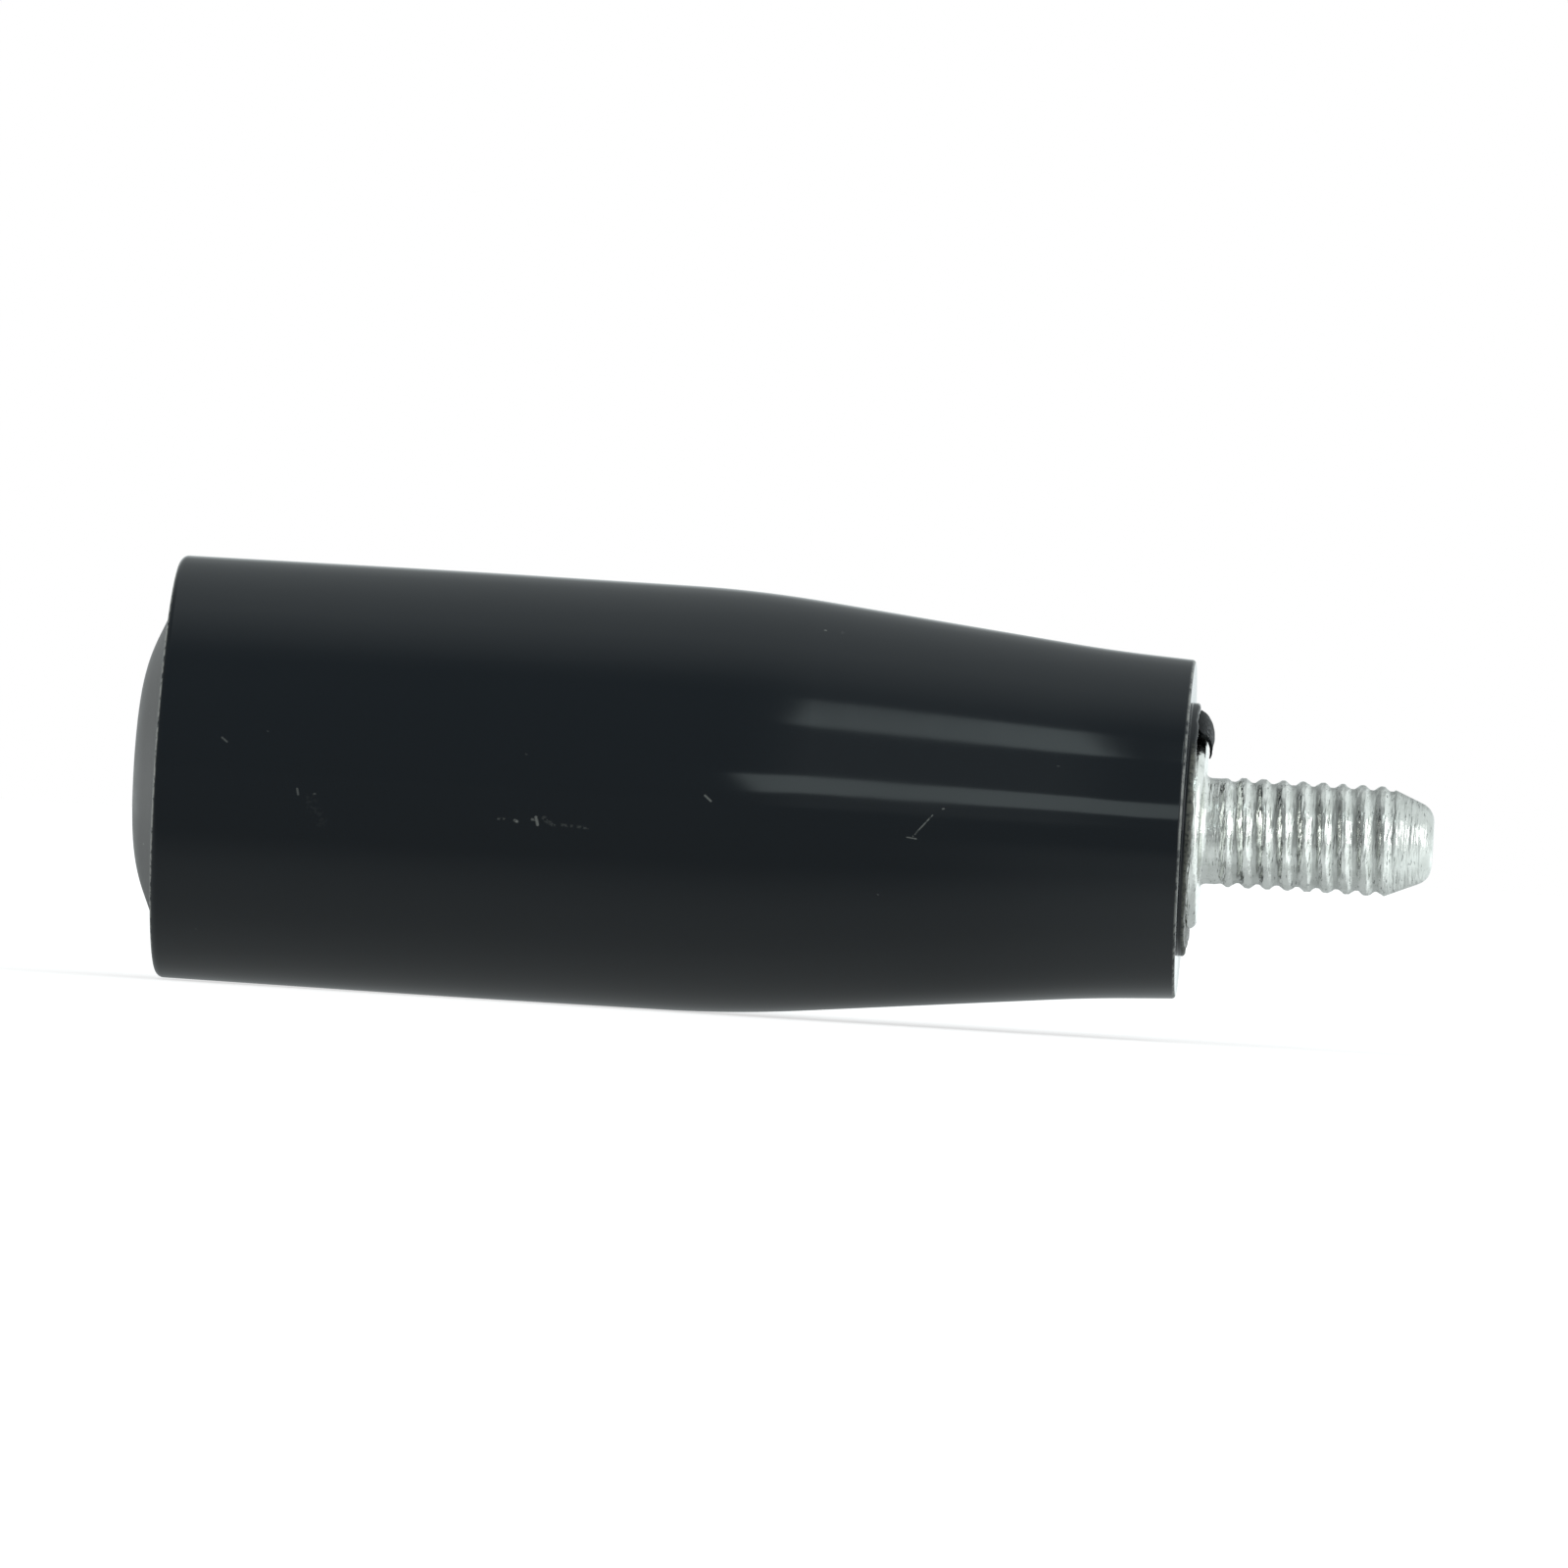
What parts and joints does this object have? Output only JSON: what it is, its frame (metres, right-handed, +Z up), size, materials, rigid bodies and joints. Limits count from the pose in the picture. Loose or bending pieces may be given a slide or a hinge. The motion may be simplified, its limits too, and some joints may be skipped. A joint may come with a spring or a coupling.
{
  "type": "revolving machine handle",
  "caption": "Glossy black barrel grip that turns freely on a zinc-plated spindle with a threaded stud and flange, closed at its wide end by a domed grey cap.",
  "frame": {"origin": "centre of the spindle flange's outer face, which seats on the crank arm or handwheel", "axes": "+X along the axis towards the stud's point; the sleeve lies along -X; +Z up through the curl of flash at the lip"},
  "size_m": [0.0655, 0.0216, 0.0216],
  "materials": {
    "black_moulding": "glossy compression-moulded black, lightly scuffed",
    "zinc_plate": "bright zinc plate",
    "washer_steel": "plain plated steel",
    "spring_steel": "phosphated spring steel",
    "grey_plastic": "matt moulded plastic"
  },
  "bodies": {
    "spindle": {"spindle": "zinc_plate", "thrust_washer": "washer_steel", "retaining_ring": "spring_steel"},
    "sleeve": {"sleeve": "black_moulding", "end_cap": "grey_plastic"}
  },
  "joints": [
    {"name": "sleeve_spin", "type": "hinge", "parent": "spindle", "child": "sleeve", "pos_m": [-0.026, 0, 0], "axis": [1, 0, 0], "continuous": true}
  ]
}
